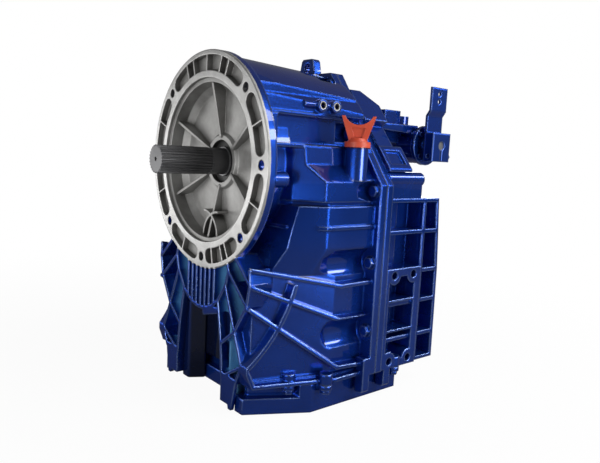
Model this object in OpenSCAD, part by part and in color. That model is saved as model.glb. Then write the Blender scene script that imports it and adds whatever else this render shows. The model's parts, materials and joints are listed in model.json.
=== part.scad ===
// Marine reversing gearbox with a bell flange, twin clutches, side pads and a shift lever.
// The input shaft runs along Y, the flange face is at Y = 0 and Z is up.

/* [Bell flange] */
// Outside radius of the bell flange
flange_r = 180; // [176:1:186]
// Thickness of the bell flange
flange_t = 16; // [12:1:18]
// Radius of the flange bolt circle
flange_bolt_r = 162; // [160:0.5:164]
// Diameter of the flange bolt holes
flange_hole_d = 15; // [11:0.5:16]
// Width of the spigot step that centres the engine
spigot_step = 7; // [5:0.5:8]
// Depth of the spigot step
spigot_depth = 6; // [3:0.5:9]
// Radius of the bowl behind the spigot
bowl_r = 129; // [125:0.5:131]
// Depth of the bowl
bowl_depth = 38; // [34:1:40]
// Thickness of the bowl ribs
bowl_rib_t = 5; // [3:0.5:8]
// Wall of the neck behind the flange
neck_wall = 10; // [8:0.5:14]

/* [Case] */
// Distance from the flange face to the joint between the two cases
split_y = 232; // [229:1:236]
// Thickness of each joint flange
joint_flange_t = 14.5; // [12:0.5:16]
// Thickness of the joint gasket
gasket_t = 1; // [0.6:0.1:2]
// Half width over the joint flanges
joint_half_w = 203; // [201:1:206]
// Height of the flat top of the case above the input shaft
roof_z = 165; // [162:1:168]
// Half width of the flat top
roof_half_w = 62; // [58:1:66]
// Height at which the sloping roof meets the side
eave_z = -26; // [-30:1:-22]
// Depth of the cases below the input shaft
case_bottom = 351; // [348:1:354]
// Set-back of the side ribs from the edge of the joint flange
rib_inset = 8; // [6:0.5:10]
// Set-back of the lower side walls from the edge of the joint flange
wall_inset = 20; // [18:1:23]
// Set-back of the middle side walls from the edge of the joint flange
bulge_inset = 13; // [11:0.5:15]
// Half width over the ribs at the front face
front_half_w = 147; // [143:1:150]
// Distance from the flange face to the bend in the side walls
bend_y = 148; // [140:1:156]
// Thickness of the cast ribs
rib_t = 6; // [4:0.5:8]
// Thickness of the case walls
wall_t = 12; // [9:0.5:14]
// Depth of the ribbed cells in the front face
cell_depth = 42; // [34:1:44]
// Length of the rear case behind its joint flange
rear_len = 58; // [56:1:62]

/* [Legs and oil pan] */
// Height of the oil pan
pan_h = 48; // [44:1:54]
// Wall of the oil pan
pan_wall = 7; // [5:0.5:9]
// Half width of the opening between the legs, at the top
gap_top_half_w = 45; // [40:1:48]
// Half width of the opening between the legs, at the floor
gap_low_half_w = 72; // [68:1:74]
// Depth of the top of the opening below the input shaft
gap_top = 240; // [236:1:246]

/* [Side pads] */
// Set-back of the machined side pads from the edge of the joint flange
pad_inset = 3; // [0:0.5:5]
// How much further back the left pad sits than the right one
left_pad_back = 6; // [4:1:8]
// Hole spacing on a side pad, front to rear
pad_dy = 50; // [46:1:54]
// Hole spacing on a side pad, up and down
pad_dz = 155; // [150:1:158]
// Diameter of the pad holes
pad_hole_d = 14; // [10:0.5:16]
// Depth of the pad holes
pad_hole_depth = 30; // [24:1:34]

/* [Gears] */
// Module of all the gears
gear_m = 5; // [4.9:0.05:5]
// Teeth on each clutch drum gear
drum_teeth = 20; // [19:1:20]
// Teeth on each pinion
pinion_teeth = 18; // [17:1:19]
// Teeth on the output gear
output_teeth = 47; // [45:1:48]
// Play between meshing teeth, along the pitch circle
backlash = 0.7; // [0.5:0.1:0.9]
// Width of the drum gears
drum_gear_w = 26; // [20:1:30]
// Width of the output gear
output_gear_w = 36; // [30:1:38]

/* [Shafts] */
// Outside radius of the input spline
spline_r = 22.5; // [21:0.5:23.5]
// Number of input spline teeth
spline_teeth = 26; // [20:1:30]
// How far the input shaft stands out of the flange
nose_len = 87; // [80:1:95]
// Radius of the input and reverse shafts in their bearings
shaft_r = 25; // [24:0.5:26]
// Radius of the output shaft in its bearings
output_shaft_r = 32; // [30:0.5:34]
// Running clearance on the radius
run_gap = 0.05; // [0.03:0.01:0.1]
// Sliding clearance between parts that don't seat on each other
free_gap = 0.4; // [0.3:0.05:0.6]

/* [Output coupling] */
// Outside radius of the output coupling
coupling_r = 92; // [88:1:96]
// Radius of the coupling bolt circle
coupling_bolt_r = 76.2; // [74:0.1:78]
// Diameter of the coupling bolt holes
coupling_hole_d = 16.5; // [12:0.5:18]
// Thickness of the coupling disc
coupling_t = 16; // [14:1:20]

/* [Control valve] */
// Distance from the flange face to the lever shaft
lever_y = 421; // [418:1:424]
// Height of the lever shaft above the input shaft
lever_z = 47; // [45:1:49]
// Radius of the round valve cover
cover_r = 38; // [36:0.5:40]
// Outer face of the valve cover, from the middle of the gearbox
cover_x = 126; // [122:1:130]
// Radius of the lever shaft
lever_shaft_r = 8; // [7:0.5:9]
// Width of the lever plate
lever_w = 45; // [40:1:48]
// Thickness of the lever plate
lever_t = 5; // [4:0.5:6]
// Height of the lever above its shaft
lever_len = 109; // [100:1:114]
// Diameter of the cable holes in the lever
lever_hole_d = 8.5; // [6:0.5:10]

/* [Dipstick] */
// Set-back of the filler neck's middle from the edge of the joint flange
filler_inset = 23; // [21:1:25]
// Distance from the flange face to the filler neck
filler_y = 178; // [176:1:179]
// Height of the filler neck's rim above the input shaft
filler_z = 34; // [34:0.5:40]
// Radius of the filler neck
filler_r = 18; // [17:0.5:19]
// Radius of the dipstick blade
stick_r = 3; // [2.5:0.1:3.5]
// Length of the dipstick below its cap
stick_len = 130; // [110:1:140]

/* [Hidden] */
$fn = 72;
eps = 0.01;
spigot_r = bowl_r + spigot_step;
neck_r = bowl_r + neck_wall;
rib_half_w = joint_half_w - rib_inset;
wall_half_w = joint_half_w - wall_inset;
bulge_half_w = joint_half_w - bulge_inset;
pad_half_w = joint_half_w - pad_inset;
filler_x = joint_half_w - filler_inset;
joint_front = split_y - gasket_t / 2;
joint_rear = split_y + gasket_t / 2;
front_flange_y = joint_front - joint_flange_t;
rear_flange_y = joint_rear + joint_flange_t;
rear_face = rear_flange_y + rear_len;

pinion_pitch_r = gear_m * pinion_teeth / 2;
output_pitch_r = gear_m * output_teeth / 2;
drum_pitch_r = gear_m * drum_teeth / 2;
centre_dist = pinion_pitch_r + output_pitch_r;
drum_dist = 2 * drum_pitch_r;
reverse_z = -drum_dist * drum_dist / (2 * centre_dist);
reverse_x = -sqrt(drum_dist * drum_dist - reverse_z * reverse_z);
input_at = [0, 0];
reverse_at = [reverse_x, reverse_z];
output_at = [0, -centre_dist];
shafts = [input_at, reverse_at];

// Places along the shafts
seal_y = bowl_depth + 3;
seal_t = 10;
seal_r = 36;
front_bearing_y = seal_y + seal_t + 2;
bearing_w = 20;
bearing_r = 37;
drum_y = front_bearing_y + bearing_w + 15;
drum_len = 84;
drum_r = gear_m * (drum_teeth / 2 - 1.25) - 1;
drum_wall = 5;
plate_w = 5.5;
pinion_y = joint_rear + 3.5;
pinion_w = output_gear_w + 4;
pinion_hub_r = drum_r - drum_wall - plate_w - 1.5;
rear_bearing_y = pinion_y + pinion_w + 4;
output_bearing_r = 52;
output_bearing_w = 24;
output_gear_y = pinion_y + 2;
boss_len = 46;
boss_end = rear_face + boss_len;
coupling_y = boss_end + 26;
pan_top = -case_bottom - gasket_t;
floor_z = pan_top - pan_h;
pan_step_z = floor_z + 26;
pan_neck = 15;
ear_t = 8;
pad_y = rear_flange_y + 48;
pad_h = 180;
pad_z = pad_h / 2 - case_bottom;
pad_w = 90;
bolt_r = 5;
bolt_head_r = 10;
bolt_head_h = 8;

// Angles of the meshing teeth, seen from the front
drum_dir = atan2(reverse_z, reverse_x);
gear_dir = atan2(reverse_z + centre_dist, reverse_x);
output_phase = 90 + 180 / output_teeth;

// Paint and metal colours
paint = [0.05, 0.1, 0.42];
raw_cast = [0.7, 0.7, 0.69];
steel = [0.5, 0.5, 0.52];
black = [0.05, 0.05, 0.06];
orange = [0.8, 0.25, 0.15];
brass = [0.6, 0.5, 0.25];

// Turns a flat shape in X and Z into a slab that runs along Y
module along_y(y0, len) translate([0, y0 + len, 0]) rotate([90, 0, 0]) linear_extrude(len) children();

// Turns a flat shape in Y and Z into a slab that runs along X
module along_x(x0, len) translate([x0, 0, 0]) rotate([90, 0, 90]) linear_extrude(len) children();

// Turns a flat shape in X and Y into a slab that runs along Z
module along_z(z0, len) translate([0, 0, z0]) linear_extrude(len) children();

// Turns a profile of radius and Y about the line through a place in X and Z
module about_y(at) translate([at[0], 0, at[1]]) rotate([-90, 0, 0]) rotate_extrude() children();

// A rod along Y
module rod_y(at, y0, len, r) translate([at[0], y0, at[1]]) rotate([-90, 0, 0]) cylinder(h = len, r = r);

// A ring along Y
module ring_y(at, y0, len, r_out, r_in) difference() {
    rod_y(at, y0, len, r_out);
    rod_y(at, y0 - 1, len + 2, r_in);
}

// A rod along X
module rod_x(at, x0, len, r) translate([x0, at[0], at[1]]) rotate([0, 90, 0]) cylinder(h = len, r = r);

// The child and its mirror image on the other side of the gearbox
module both_sides() {
    children();
    mirror([1, 0, 0]) children();
}

// A straight stroke of a flat rib pattern, with a slightly swollen round end
swell = 0.7;
module stroke(from, to, w = rib_t) {
    run = to - from;
    translate(from) rotate(atan2(run[1], run[0])) translate([0, -w / 2]) square([norm(run), w]);
    translate(to) circle(d = w + swell);
}

// A chain of strokes
module strokes(points, w = rib_t) for (i = [0:len(points) - 2]) stroke(points[i], points[i + 1], w);

// A hexagon-headed bolt along +Y with its head in front of y0
module bolt_y(at, y0, len, r = bolt_r, head_r = bolt_head_r, head_h = bolt_head_h) {
    translate([at[0], y0, at[1]]) rotate([90, 0, 0]) {
        cylinder(h = head_h, r = head_r, $fn = 6);
        cylinder(h = 2, r = head_r * 1.25);
    }
    rod_y(at, y0 - eps, len, r);
}

// Outline of an involute gear with its tooth 0 at the given angle
function involute(angle) = tan(angle) * 180 / PI - angle;
function flank(base_r, r, half) = half - involute(acos(min(1, base_r / r)));
function around(r, angle) = r * [cos(angle), sin(angle)];
function gear_points(teeth, phase) = let (
        pitch = gear_m * teeth / 2,
        base = pitch * cos(20),
        tip = pitch + gear_m,
        root = pitch - 1.25 * gear_m,
        low = max(base, root),
        half = 90 / teeth - backlash / 4 / pitch * 180 / PI + involute(20),
        radii = [for (i = [0:flank_steps]) low + (tip - low) * i / flank_steps],
        foot = flank(base, low, half),
        heel = foot + root_step * (180 / teeth - foot))
    [for (k = [0:teeth - 1]) let (mid = phase + k * 360 / teeth) each concat(
        [around(root, mid - heel)],
        [for (r = radii) around(r, mid - flank(base, r, half))],
        [for (i = [flank_steps:-1:0]) around(radii[i], mid + flank(base, radii[i], half))],
        [around(root, mid + heel)])];
flank_steps = 4;
root_step = 0.15;

// A spur gear with a bore
module gear(at, teeth, phase, y0, w, bore) along_y(y0, w) translate(at) difference() {
    polygon(gear_points(teeth, phase));
    circle(r = bore);
}

// Outline of the joint flange, in X and Z
module joint_outline(inset = 0) polygon([
    [-roof_half_w, roof_z - inset], [roof_half_w, roof_z - inset], [joint_half_w - inset, eave_z],
    [joint_half_w - inset, -case_bottom], [inset - joint_half_w, -case_bottom],
    [inset - joint_half_w, eave_z]]);

// Places of the joint bolts, in X and Z, on the right and on the left
side_bolt_x = joint_half_w - 13;
side_bolt_z = [-36, -157, -275];
top_bolt = [66, 143];
slope_bolt = [123, 58];
roof_bolts = [top_bolt, slope_bolt];
bolt_places = [for (s = [-1, 1]) each concat([for (z = side_bolt_z) [s * side_bolt_x, z]],
    [for (at = roof_bolts) [s * at[0], at[1]]])];

// Plan outline of the lower front case, from its front corners to its sides
module front_plan(front_x, side_x, y0) both_sides_flat() polygon([
    [0, y0], [front_x, y0], [side_x, bend_y], [side_x, joint_front], [0, joint_front]]);

// Round flange, neck and bowl of the bell, as one turned shape
neck_len = 34;
module bell() about_y([0, 0]) polygon([
    [seal_r, seal_y], [seal_r, seal_y + neck_len], [neck_r, seal_y + neck_len], [neck_r, flange_t + 8],
    [neck_r + 6, flange_t], [flange_r, flange_t], [flange_r, 1], [flange_r - 1, 0], [spigot_r, 0],
    [spigot_r, spigot_depth], [bowl_r, spigot_depth], [bowl_r, bowl_depth - 10], [bowl_r - 10, bowl_depth],
    [seal_r + 12, bowl_depth], [seal_r + 8, seal_y - 8], [seal_r + 1, seal_y - 8], [seal_r, seal_y - 7]]);

// Radial ribs of the bowl, sloping from the rim down to the hub
module bowl_ribs() for (a = [30:60:330]) rotate([0, -a, 0])
    translate([0, 0, -bowl_rib_t / 2]) linear_extrude(bowl_rib_t) polygon([
        [seal_r + 4, bowl_depth + 1], [seal_r + 4, seal_y - 10], [bowl_r + 1, spigot_depth + 6],
        [bowl_r + 1, bowl_depth + 1]]);

// Arched rib pair at the bottom of the bowl
arch_r = 46;
arch_t = 4;
arch_x = 22;
module bowl_arch() along_y(bowl_depth - 22, 23) intersection() {
    circle(r = bowl_r + 1);
    union() for (s = [-1, 1]) translate([s * arch_x, -bowl_r]) difference() {
        circle(r = arch_r);
        circle(r = arch_r - arch_t);
        translate([s * arch_r - arch_r, -arch_r - 1]) square([2 * arch_r, 2 * arch_r + 2]);
    }
}

// Pockets round the flange between the flat lands of the bolt holes, with round ends
land_angle = 9;
pocket_rib_t = 3;
pocket_in = spigot_r + 11;
pocket_out = flange_r - 8;
pocket_mid = (pocket_in + pocket_out) / 2;
module kidney(from, to) {
    intersection() {
        difference() {
            circle(r = pocket_out);
            circle(r = pocket_in);
        }
        polygon([[0, 0], for (i = [0:4]) around(2 * flange_r, from + (to - from) * i / 4)]);
    }
    for (a = [from, to]) translate(around(pocket_mid, a)) circle(d = pocket_out - pocket_in - swell);
}
module flange_pockets() along_y(-1, flange_t - 4) difference() {
    for (a = flange_hole_angles) kidney(a + land_angle, a + (a == 45 ? 90 : 45) - land_angle);
    for (a = [22.5:45:337.5]) rotate(a) square([2 * flange_r, pocket_rib_t], center = true);
    for (a = [75, 90, 105, 282, 298])
        rotate(a) translate([0, -pocket_rib_t / 2]) square([flange_r, pocket_rib_t]);
}
flange_hole_angles = [0, 45, 135, 180, 225, 270, 315];

// Upper housing behind the bell: a tapered round roof that steps down to flat flanks
roof_edge = [118, 126];
ledge = [136, 109];
flank_x = 126;
shelf_z = [29, 78];
shelf_t = 6;
module upper_housing() intersection() {
    about_y([0, 0]) polygon([
        [0, flange_t / 2], [flange_r - 5, flange_t / 2], [roof_z, joint_front], [0, joint_front]]);
    along_y(0, joint_front) both_sides_flat() polygon([
        [0, roof_z + 20], [roof_half_w, roof_z + 20], roof_edge, [roof_edge[0], ledge[1] + 2], ledge,
        [ledge[0] + 2, shelf_z[1] + shelf_t], [flank_x, shelf_z[1]], [flank_x, -20], [0, -20]]);
}

// Shelves along the flanks, and a block that ties them to the bell
shelf_root = 100;
upper_shelf = [154, 128];
lower_shelf = [167, 156];
tie_x = 156;
tie_y = 36;
module flank_shelves() both_sides() {
    along_z(shelf_z[1], shelf_t) polygon([
        [shelf_root, flange_t - 2], [upper_shelf[0], flange_t - 2], [upper_shelf[1], front_flange_y + 1],
        [shelf_root, front_flange_y + 1]]);
    along_z(shelf_z[0], shelf_t) polygon([
        [shelf_root, flange_t - 2], [lower_shelf[0], flange_t - 2], [lower_shelf[1], bend_y],
        [lower_shelf[1], front_flange_y + 1], [shelf_root, front_flange_y + 1]]);
    along_z(shelf_z[0] + 1, shelf_z[1] - shelf_z[0]) polygon([
        [shelf_root, flange_t - 1], [tie_x, flange_t - 1], [tie_x, tie_y - 4], [tie_x - 6, tie_y],
        [shelf_root, tie_y]]);
}

// Flat plan of one tier of the middle housing: a nose behind the bell that widens to the side
bulge_front = 58;
bulge_neck_x = 118;
module tier_plan(nose, crease_y, side_x) both_sides_flat() polygon([
    [0, bulge_front], [bulge_neck_x, bulge_front], nose, [side_x, crease_y], [side_x, joint_front],
    [0, joint_front]]);

// Middle of the case in tiers, from the eaves down to the web
eave_step = -54;
groove_z = -61;
belt_z = -95;
taper_z = -128;
web_top_z = -171;
module middle_housing() {
    intersection() {
        along_z(eave_step, lower_shelf[1]) tier_plan([150, 70], 106, bulge_half_w);
        along_y(0, joint_front) both_sides_flat() polygon([
            [0, shelf_z[0] + 4], [163, shelf_z[0] + 4], [165, 4], [bulge_half_w, eave_z + 4],
            [bulge_half_w, eave_step], [0, eave_step]]);
    }
    along_z(groove_z - 1, eave_step - groove_z + 2) tier_plan([144, 76], 118, bulge_half_w - 6);
    intersection() {
        along_z(web_top_z, groove_z - web_top_z) tier_plan([bulge_nose_x, 34], 114, bulge_half_w);
        along_x(-joint_half_w, 2 * joint_half_w) polygon([
            [joint_front, groove_z], [72, groove_z], [64, belt_z], [58, taper_z], [44, -152], [34, web_top_z],
            [joint_front, web_top_z]]);
        along_y(0, joint_front) both_sides_flat() polygon([
            [0, groove_z], [bulge_half_w, groove_z], [bulge_half_w, taper_z], [bulge_half_w - 12, web_top_z],
            [0, web_top_z]]);
    }
    along_z(belt_z - rib_t / 2, rib_t) tier_plan([bulge_nose_x + 3, 62], 110, bulge_half_w + 3);
    both_sides() about_y(bell_boss) polygon([
        [0, flange_t - 1], [bell_boss_r, flange_t - 1], [bell_boss_r, bell_boss_y - 6],
        [bell_boss_r - 6, bell_boss_y], [0, bell_boss_y]]);
}
bulge_nose_x = 148;

// Round boss behind the bell at mid height
bell_boss = [168, -20];
bell_boss_r = 12;
bell_boss_y = 46;

// Ribs of the side walls, in Y and Z
arc_r = 271;
arc_at = [-190, -130];
rim_z = 3 - case_bottom;
module side_web() {
    strokes([[0, -160], [35, -167], [bend_y, -190], [split_y, -189]]);
    strokes([[0, -186], [bend_y, -246], [split_y, -250]]);
    strokes([[0, -221], [bend_y, -327], [split_y, -333]]);
    strokes([[0, -318], [12, rim_z], [split_y, rim_z]]);
    intersection() {
        translate(arc_at) difference() {
            circle(r = arc_r);
            circle(r = arc_r - rib_t);
        }
        translate([0, -330]) square([100, 145]);
    }
}

// Corners of the ribs in the front face, in X and Z, on the right side
web_shoulder = [front_half_w - 2, -184];
web_elbow = [front_half_w - 9, -219];
web_waist = [front_half_w - 40, -267];
web_knee = [front_half_w - 17, -318];
web_foot = [front_half_w - 33, -case_bottom];
web_a = [85, -173];
web_b = [77, -198];
web_c = [gap_top_half_w + 11, -227];
leg_high = [gap_low_half_w - 3, -296];
leg_low = [gap_low_half_w + 3, -case_bottom];
web_t = rib_t - 1;
fan_r = 82;
fan_z = -170;
fan_pitch = 14;

// Fan of ribs under the bell, closed by an arc
module fan() {
    for (x = [-3 * fan_pitch:fan_pitch:3 * fan_pitch])
        stroke([x, -170], [x, fan_z - sqrt((fan_r - 3) * (fan_r - 3) - x * x)], web_t);
    intersection() {
        translate([0, fan_z]) difference() {
            circle(r = fan_r);
            circle(r = fan_r - rib_t);
        }
        translate([-fan_r, fan_z - fan_r - 1]) square([2 * fan_r, fan_r + 1 + web_c[1] - fan_z]);
    }
}

// Ribs of the front face
module front_web() {
    fan();
    both_sides_flat() {
        strokes([[80, -158], web_a, web_b, web_c, leg_high, leg_low], web_t);
        strokes([[100, -145], web_shoulder], web_t);
        strokes([web_a, web_elbow], web_t);
        strokes([web_b, web_waist], web_t);
        strokes([[front_half_w - 4, -160], web_shoulder, web_elbow, web_waist, web_knee, web_foot], web_t);
        strokes([leg_high, web_waist], web_t);
        strokes([leg_low, web_knee], web_t);
    }
    polygon([[9, -247], [54, -238], [60, -248], [12, -261]]);
}

// Outline of the front cells and of the gap between the legs
module cells_zone() both_sides_flat() polygon([
    [0, -150], [front_half_w - 4, -150], web_shoulder, web_elbow, web_waist, web_knee, web_foot,
    [0, -case_bottom - 1]]);

// Flat shape and its mirror image
module both_sides_flat() {
    children();
    mirror([1, 0]) children();
}

// Lower housing: walls that wrap round the corners, ribbed sides and a cellular front
corner_y = 14;
wall_recess = 6;
base_rim_h = 10;
module lower_housing() {
    difference() {
        union() {
            along_z(-case_bottom, case_bottom - 165)
                front_plan(front_half_w - 12, wall_half_w - wall_recess, corner_y);
            along_z(-case_bottom, base_rim_h) front_plan(front_half_w - 10, wall_half_w, corner_y - 4);
            intersection() {
                along_z(-case_bottom, case_bottom - 60) front_plan(front_half_w, rib_half_w, 0);
                along_x(-joint_half_w, 2 * joint_half_w) side_web();
            }
        }
        along_y(-1, cell_depth + 1) cells_zone();
    }
    intersection() {
        along_y(0, cell_depth + 1) front_web();
        translate([-joint_half_w, -1, -case_bottom]) cube([2 * joint_half_w, cell_depth + 3, case_bottom]);
    }
}

// Toes of the legs, in front of the pan and beside it
toe_drop = 9;
skin_t = 6.5;
module leg_toes() both_sides() {
    along_z(floor_z + toe_drop, -case_bottom - floor_z) polygon([
        [gap_low_half_w + 2, 0], [100, 0], [103, 6], [90, cell_depth], [gap_low_half_w + 2, cell_depth]]);
    along_y(0, skin_t) polygon([
        [gap_low_half_w + 2, 8 - case_bottom], web_foot + [2, 8], web_foot + [0, -8],
        [web_foot[0] - 8, floor_z + 2], [web_foot[0] - 16, floor_z + 2],
        [web_foot[0] - 18, floor_z + toe_drop], [gap_low_half_w + 2, floor_z + toe_drop]]);
}

// Tab below the joint flange, and its plan place on the rear case
tab_w = 19;
tab_z = -382;
module tab(half_w, y0, len) both_sides() along_y(y0, len) polygon([
    [half_w - tab_w, 30 - case_bottom], [half_w, 30 - case_bottom], [half_w, tab_z + 4], [half_w - 4, tab_z],
    [half_w - tab_w, tab_z]]);

// Bosses for the pan bolts
pan_boss_r = 11;
pan_boss_h = 18;
module pan_bosses(y0, y1) for (at = pan_bolt_places) if (at[1] > y0 && at[1] < y1)
    translate([at[0], at[1], -case_bottom]) cylinder(h = pan_boss_h, r = pan_boss_r);
module pan_bolt_holes() for (at = pan_bolt_places)
    translate([at[0], at[1], -case_bottom - 1]) cylinder(h = 8, r = bolt_r);

// Lifting lug on the roof beside the joint
lug_t = 17;
lug_at = [0, 177];
lug_hole_r = 8;
lug_top = 193;
module lifting_lug() along_y(joint_front - lug_t, lug_t) difference() {
    polygon([[-22, roof_z - 15], [22, roof_z - 15], [20, roof_z + 6], [16, lug_top - 4], [12, lug_top],
        [-12, lug_top], [-16, lug_top - 4], [-20, roof_z + 6]]);
    translate(lug_at) circle(r = lug_hole_r);
}

// Filler neck that stands on the eave
neck_foot = -20;
module filler_neck()
    translate([filler_x, filler_y, neck_foot]) cylinder(h = filler_z - neck_foot, r = filler_r);

// Bore for the blade, set inward of the neck's middle to pass the bolt tunnel
stick_x = filler_x - 9;

// Two oil ports on the right flank
port_y = [130, 160];
port_z = 98;
port_r = 10;
port_face = ledge[0] + 10;
module port_bosses() {
    rod_y([ledge[0], port_z], port_y[0] - 34, port_y[1] - port_y[0] + 46, 6);
    for (y = port_y) rod_x([y, port_z], flank_x, port_face - flank_x, port_r);
}
module port_holes() for (y = port_y) rod_x([y, port_z], port_face - port_depth, port_depth + 1, port_hole_r);
port_depth = 20;
port_hole_r = 5;

// Spaces inside the front case for the clutches, and the sump that opens into the pan
sump_front = cell_depth + 28;
sump_half_w = wall_half_w - 30;
sump_top = -185;
module front_spaces() {
    for (at = shafts) {
        rod_y(at, front_bearing_y, bearing_w, bearing_r);
        rod_y(at, front_bearing_y, bearing_w + 20, shaft_r + 4);
        rod_y(at, drum_y - 4, joint_front, drum_pitch_r + gear_m + 3);
    }
    rod_y(reverse_at, front_bearing_y - 8, bearing_w, shaft_r + 4);
    difference() {
        along_z(-case_bottom - 1, case_bottom + 1 + sump_top) both_sides_flat() polygon([
            [0, sump_front], [100, sump_front], [sump_half_w, bend_y - 30], [sump_half_w, split_y],
            [0, split_y]]);
        rod_y(output_at, sump_front, split_y, output_bearing_r + wall_t);
    }
    rod_y(output_at, joint_front - output_bearing_w, output_bearing_w + 1, output_bearing_r);
}

// Hollows in the side walls that give a wrench access to the joint bolts
tunnel_r = [18, 26, 29];
tunnel_y = [172, 106, 110];
module bolt_tunnels() both_sides() {
    for (i = [0:2]) about_y([side_bolt_x + 4, side_bolt_z[i]]) polygon([
        [0, tunnel_y[i]], [tunnel_r[i] * 0.6, tunnel_y[i] + 5], [tunnel_r[i], tunnel_y[i] + 30],
        [tunnel_r[i], front_flange_y], [0, front_flange_y]]);
    for (at = roof_bolts) rod_y(at, front_flange_y - 40, 40, bolt_head_r + 6);
}

module front_case() color(paint) difference() {
    union() {
        difference() {
            union() {
                bell();
                upper_housing();
                flank_shelves();
                middle_housing();
                lower_housing();
                leg_toes();
                port_bosses();
                pan_bosses(0, split_y);
            }
            bolt_tunnels();
            rod_y(input_at, -1, seal_y + 2, seal_r + 1);
            about_y([0, 0]) polygon([
                [0, -1], [spigot_r, -1], [spigot_r, spigot_depth], [bowl_r, spigot_depth],
                [bowl_r, bowl_depth - 10], [bowl_r - 10, bowl_depth], [0, bowl_depth]]);
        }
        about_y([0, 0]) polygon([[seal_r, bowl_depth - 5], [seal_r, seal_y + 30], [seal_r + 20, seal_y + 30],
            [seal_r + 12, bowl_depth], [seal_r + 8, bowl_depth - 5]]);
        bowl_ribs();
        bowl_arch();
        along_y(front_flange_y, joint_flange_t) joint_outline();
        tab(joint_half_w, front_flange_y - joint_flange_t, joint_flange_t + 1);
        lifting_lug();
        filler_neck();
    }
    flange_pockets();
    for (a = flange_hole_angles)
        rod_y(flange_bolt_r * [cos(a), sin(a)], -1, flange_t + 2, flange_hole_d / 2);
    rod_y(input_at, seal_y, seal_t + 6, seal_r);
    front_spaces();
    port_holes();
    for (at = bolt_places) rod_y(at, front_flange_y - 1, joint_flange_t + 2, bolt_r + free_gap);
    pan_bolt_holes();
    translate([stick_x, filler_y, filler_z - stick_len - 4])
        cylinder(h = stick_len + 10, r = stick_r + free_gap);
}

module case_gasket() color(black) along_y(joint_front, gasket_t) difference() {
    joint_outline(0.5);
    joint_outline(30);
    for (at = bolt_places) translate(at) circle(r = bolt_r + free_gap);
}

module case_bolts() color(paint) for (at = bolt_places)
    bolt_y(at, front_flange_y, joint_flange_t + gasket_t + 10);

// Sloping roof and side walls of the rear case
shell_half_w = joint_half_w - 11;
wall_x = shell_half_w - 16;
bay_x = wall_x - 12;
ridge = [84, 138];
module rear_shell() {
    along_y(joint_rear, joint_flange_t) joint_outline();
    along_y(rear_flange_y - eps, rear_len + eps) both_sides_flat() polygon([
        [0, ridge[1]], ridge, [shell_half_w, 2], [shell_half_w, -3], [wall_x, -3], [wall_x, -44],
        [bay_x, -60], [bay_x, -case_bottom], [0, -case_bottom]]);
}

// Step and framed pocket cut into each slope of the roof
slope = atan2(ridge[1] - 2, shell_half_w - ridge[0]);
step_len = 57;
step_depth = 15;
pocket_depth = 4;
module slope_cuts() both_sides() translate([ridge[0], 0, ridge[1]]) rotate([0, slope, 0]) {
    translate([68, rear_flange_y, -step_depth]) cube([step_len, rear_len + 1, 2 * step_depth]);
    translate([135, rear_flange_y + 10, -pocket_depth]) cube([28, rear_len - 20, 2 * pocket_depth]);
}

// Ribbed cheeks that carry the side pads
cheek_rear = rear_face + 82;
cheek_top = -52;
cheek_x = 150;
cheek_levels = [cheek_top, -108, -180, -236, -300, rim_z];
cheek_t = rib_t + 1;
module cheek_web() {
    for (z = cheek_levels) stroke([joint_rear + 4, z], [cheek_rear, z], cheek_t);
    stroke([rear_face + 40, rim_z], [rear_face + 40, cheek_top], cheek_t);
    strokes([[cheek_rear - 6, cheek_top], [cheek_rear + 3, -180], [cheek_rear + 6, rim_z]], cheek_t);
}
module cheeks() both_sides() {
    intersection() {
        along_x(cheek_x, rib_half_w - cheek_x) cheek_web();
        along_x(cheek_x - 1, joint_half_w) polygon([
            [joint_rear, cheek_top + 8], [cheek_rear - 4, cheek_top + 8], [cheek_rear + 7, -180],
            [cheek_rear + 9, -case_bottom], [joint_rear, -case_bottom]]);
    }
    along_x(cheek_x, 8) polygon([
        [rear_flange_y, cheek_top], [cheek_rear - 6, cheek_top], [cheek_rear + 3, -180],
        [cheek_rear + 6, -case_bottom], [rear_flange_y, -case_bottom]]);
}

// Machined pad with a scalloped window
pad_root = cheek_x + 8;
module side_pad(back) along_x(pad_root, pad_half_w - pad_root) translate([pad_y + back, pad_z]) difference() {
    square([pad_w, pad_h], center = true);
    difference() {
        translate([8 - pad_w / 2, 2 - pad_dz / 2]) square([pad_w - 24, pad_dz - 4]);
        for (sy = [-1, 1], sz = [-1, 1])
            translate([sy * pad_dy / 2, sz * pad_dz / 2]) circle(r = pad_hole_d / 2 + 9);
        for (z = [-24, 30]) translate([-pad_w, z]) square([2 * pad_w, 4]);
    }
}
module pad_holes(back) for (sy = [-1, 1], sz = [-1, 1])
    rod_x([pad_y + back + sy * pad_dy / 2, pad_z + sz * pad_dz / 2], pad_half_w - pad_hole_depth,
        pad_hole_depth + 1, pad_hole_d / 2);

// Rounded shoulder above each cheek
shoulder_r = 12;
shoulder_at = [rib_half_w - shoulder_r, -16];
module shoulders() both_sides() along_y(rear_flange_y, rear_len + 32) {
    translate([cheek_x - 10, shoulder_at[1] - shoulder_r])
        square([shoulder_at[0] - cheek_x + 10, 2 * shoulder_r]);
    translate(shoulder_at) circle(r = shoulder_r + swell / 2);
}

// Boss round the output bearing, with radial ribs
boss_wall = 16;
module output_boss() {
    rod_y(output_at, rear_face - eps, boss_len, output_bearing_r + boss_wall);
    for (a = [0:45:315]) rotate_about(output_at, a)
        translate([0, rear_face - eps, -rib_t / 2]) linear_extrude(rib_t) polygon([
            [output_bearing_r - 2, 0], [output_bearing_r - 2, boss_len - 8],
            [output_bearing_r + boss_wall + 4, boss_len - 8], [output_bearing_r + 60, 0]]);
}
module rotate_about(at, a) translate([at[0], 0, at[1]]) rotate([0, -a, 0]) children();

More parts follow.
